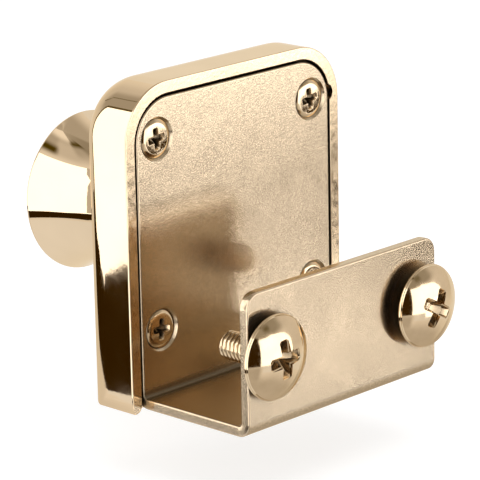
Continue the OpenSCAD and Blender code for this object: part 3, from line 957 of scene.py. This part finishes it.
def hang(name, bm, lights, distance):
    """Wraps a sheet drawn in degrees round the object, where only reflections see it."""
    for v in bm.verts:
        v.co = outward(v.co.x, v.co.y, distance)
    sheet = new_object(name, bm, Matrix.Translation((0, 0, axis_z)))
    sheet.data.transform(Matrix.Scale(MM, 4))
    colours = sheet.data.attributes.new("light", "FLOAT_COLOR", "POINT")
    for item, light in zip(colours.data, lights):
        item.color = (*light, 1)
    sheet.data.materials.append(emitter(name))
    sheet.visible_camera = False
    sheet.visible_diffuse = False
    sheet.visible_shadow = False
    sheet.visible_transmission = False


def tent_panel(name, outline, level, distance):
    """A panel with crisp edges; its outline is in degrees round from +X and up from level."""
    bm = bmesh.new()
    bm.faces.new([bm.verts.new((azimuth, elevation, 0)) for azimuth, elevation in outline])
    for axis, reach in ((0, 180), (1, 90)):
        normal = [0, 0, 0]
        normal[axis] = 1
        for line in range(-reach + PANEL_STEP, reach, PANEL_STEP):
            at = [0, 0, 0]
            at[axis] = line
            geometry = bm.verts[:] + bm.edges[:] + bm.faces[:]
            bmesh.ops.bisect_plane(bm, geom=geometry, plane_co=at, plane_no=normal)
    hang(name, bm, [warm(level)] * len(bm.verts), distance)


def between(low, high, soft, value):
    """1 between two values and 0 outside, with soft ends."""
    return smoothstep(low - soft, low + soft, value) * smoothstep(-high - soft, soft - high, -value)


def canopy_level(azimuth, elevation):
    """Brightness of the tent's cloth: white, with soft patches laid over each other."""
    level = 1.0
    for left, right, bottom, top, soft, shade in soft_patches:
        share = between(left, right, soft, azimuth) * between(bottom, top, soft, elevation)
        level += (shade - level) * share
    return level


def tent_canopy(distance):
    """The cloth behind the panels, left open where it is white, so that the white surround shows there."""
    near_white = 0.01
    bm = bmesh.new()
    azimuths = range(-180, 181, CANOPY_STEP)
    elevations = range(-90, 91, CANOPY_STEP)
    rows = [[bm.verts.new((azimuth, elevation, 0)) for azimuth in azimuths] for elevation in elevations]
    for row, following in zip(rows, rows[1:]):
        for i in range(len(row) - 1):
            bm.faces.new((row[i], row[i + 1], following[i + 1], following[i]))
    levels = {v: canopy_level(v.co.x, v.co.y) for v in bm.verts}
    plain = [f for f in bm.faces if all(abs(levels[v] - 1) < near_white for v in f.verts)]
    bmesh.ops.delete(bm, geom=plain, context="FACES")
    lights = [warm(levels[v]) for v in bm.verts]
    hang("tent_canopy", bm, lights, distance)


def build_floor():
    """A pale floor just below the thrown bolt, which keeps a faint shadow."""
    half_size = 1500
    drop = 0.6
    grey = 0.45
    glow = 0.72
    bm = bmesh.new()
    bmesh.ops.create_grid(bm, x_segments=1, y_segments=1, size=half_size)
    floor = new_object("floor", bm, Matrix.Translation((0, 0, foot_z - bolt_throw - drop)))
    floor.data.transform(Matrix.Scale(MM, 4))
    material = bpy.data.materials.new("floor")
    material.use_nodes = True
    shader = material.node_tree.nodes["Principled BSDF"]
    shader.inputs["Base Color"].default_value = (grey, grey, grey, 1)
    shader.inputs["Roughness"].default_value = 0.9
    shader.inputs["Emission Color"].default_value = (1, 1, 1, 1)
    shader.inputs["Emission Strength"].default_value = glow
    floor.data.materials.append(material)
    floor.visible_glossy = False


def soft_lamp(name, place, target, size, power):
    data = bpy.data.lights.new(name, "AREA")
    data.shape = "SQUARE"
    data.size = size * MM
    data.energy = power
    lamp = bpy.data.objects.new(name, data)
    bpy.context.scene.collection.objects.link(lamp)
    lamp.location = Vector(place) * MM
    lamp.rotation_euler = (Vector(target) - Vector(place)).to_track_quat("-Z", "Y").to_euler()
    lamp.visible_glossy = False


# Panels: outline in degrees, level of light and distance in millimetres
tent_panels = {
    "tent_side": (
        [(-82, -12.8), (-80, -14.3), (-79, -14.9), (-77, -15.4), (-70, -15.65), (-66, -15.8), (-62, -16.1),
         (-57, -16.2), (-50, -16.4), (-47.5, -16.45), (-46.5, -16.25), (-46, -16.1), (-45, -16.2),
         (-30, -19.5), (-12, -22.5), (20, -22), (56, -17), (56, 40), (20, 50), (-42, 51), (-58, 37),
         (-62, 34), (-67, 28.5), (-71.5, 21), (-79.5, 6), (-82, -5)],
        2.4, 9000),
    "tent_hem": (
        [(-86.5, -12.8), (-84, -15.3), (-70, -15), (-45, 30), (-45, 51), (-59, 39.5), (-64, 36.5),
         (-69.5, 30.5), (-74.5, 22.5), (-83, 7.5), (-86.5, -4)],
        0.15, 9400),
    "tent_seam": (
        [(-91, 24), (-89.5, 23.5), (-83.5, 31.5), (-78, 39.5), (-77, 43.5), (-77, 48), (-78.6, 48),
         (-78.6, 44), (-79.5, 40), (-85, 32)],
        0.22, 9400),
    "tent_gap": (
        [(-90, -16.8), (-86, -17.5), (-79, -17.9), (-72, -18.1), (-66, -18.3), (-56, -18.5), (-44, -18.7),
         (-40, -25), (-28, -31), (20, -31), (56, -28), (56, -14), (-92, -14.6)],
        0.035, 9600),
    "tent_fold": (
        [(-38, -19), (-24, -19), (-22, -5), (-21.3, 5), (-21.5, 14), (-22.3, 24), (-25.5, 33), (-24.5, 42),
         (-28, 51), (-38, 51)],
        0.7, 8800),
    "tent_slit": (
        [(57, -18), (85, -18), (85, 24), (57, 28)],
        0.045, 9000),
    "front_softbox": (
        [(85.5, -18), (110, -18), (112, -24), (126, -24), (128, -13.8), (134.15, -13.8), (134.3, -14.3),
         (134.9, -14.3), (135.1, -12.5), (137.2, -12.3), (137.3, -13.6), (137.9, -13.5), (139, -12.4),
         (140.5, -11), (148, -9), (147, 4), (144, 8), (137, 14), (130, 17), (118, 20), (110, 22), (105, 21),
         (85.5, 21)],
        2.6, 9000),
    "front_bright": (
        [(127, -12.2), (140, -11.8), (141, -9), (141, -2), (127, -2)],
        3.9, 8900),
    "front_gap": (
        [(126, -19), (150, -19), (150, -8), (126, -8)],
        0.06, 9200),
    "front_low": (
        [(134.8, -18.2), (137, -18.1), (140.3, -17.8), (140.8, -17.5), (139.8, -17.1), (138, -16.7),
         (136, -16.3)],
        7.2, 9000),
}
# Soft patches of the cloth: azimuths, elevations, softness in degrees, level of light
soft_patches = [
    (-180, 180, 60, 95, 10, 0.55),
    (-112, -40, 10, 62, 14, 0.78),
    (-90, -45, 22, 62, 8, 0.48),
    (-110, -50, 55, 85, 8, 0.38),
    (-125, -55, -40, -10, 8, 0.86),
    (-34, 60, -26, -8, 8, 0.03),
    (-25, 5, 58, 78, 6, 0.75),
    (-62, -24, 76, 81, 3, 0.07),
    (-30, 60, 80, 95, 4, 1.15),
    (2, 24, 57, 67, 4, 0.08),
    (55, 150, 20, 58, 5, 0.42),
    (100, 114, 28, 36, 4, 0.2),
    (140, 185, 15, 60, 10, 0.8),
    (50, 185, -95, -36, 10, 0.65),
    (57, 86, -40, -19, 4, 0.6),
    (146, 185, -12, 20, 6, 0.85),
    (-185, -150, -95, -26, 6, 0.6),
]

build_world()
build_floor()
soft_lamp("top_lamp", place=(60, 120, 420), target=(0, 0, 15), size=320, power=0.8)
tent_canopy(CANOPY_DISTANCE)
for name, (outline, level, distance) in tent_panels.items():
    tent_panel(name, outline, level, distance)


# Camera: placed as the photograph's
def build_camera():
    focal_px = 3008.844
    image_px = 480
    eye = Vector((289.423, 269.695, 131.3)) * MM
    azimuth = math.radians(133.885)
    elevation = math.radians(15.705)
    roll = math.radians(-1.172)
    data = bpy.data.cameras.new("camera")
    data.sensor_width = 36
    data.lens = focal_px * data.sensor_width / image_px
    data.clip_start = 0.01
    data.clip_end = 20
    camera = bpy.data.objects.new("camera", data)
    bpy.context.scene.collection.objects.link(camera)
    level = math.cos(elevation)
    back = Vector((math.sin(azimuth) * level, -math.cos(azimuth) * level, math.sin(elevation)))
    right = (-back).cross(Vector((0, 0, 1))).normalized()
    up = right.cross(-back)
    turned_right = right * math.cos(roll) + up * math.sin(roll)
    turned_up = up * math.cos(roll) - right * math.sin(roll)
    turned = Matrix((turned_right, turned_up, back)).transposed().to_4x4()
    camera.matrix_world = Matrix.Translation(eye) @ turned
    bpy.context.scene.camera = camera


build_camera()
bpy.context.scene.view_settings.view_transform = "Standard"
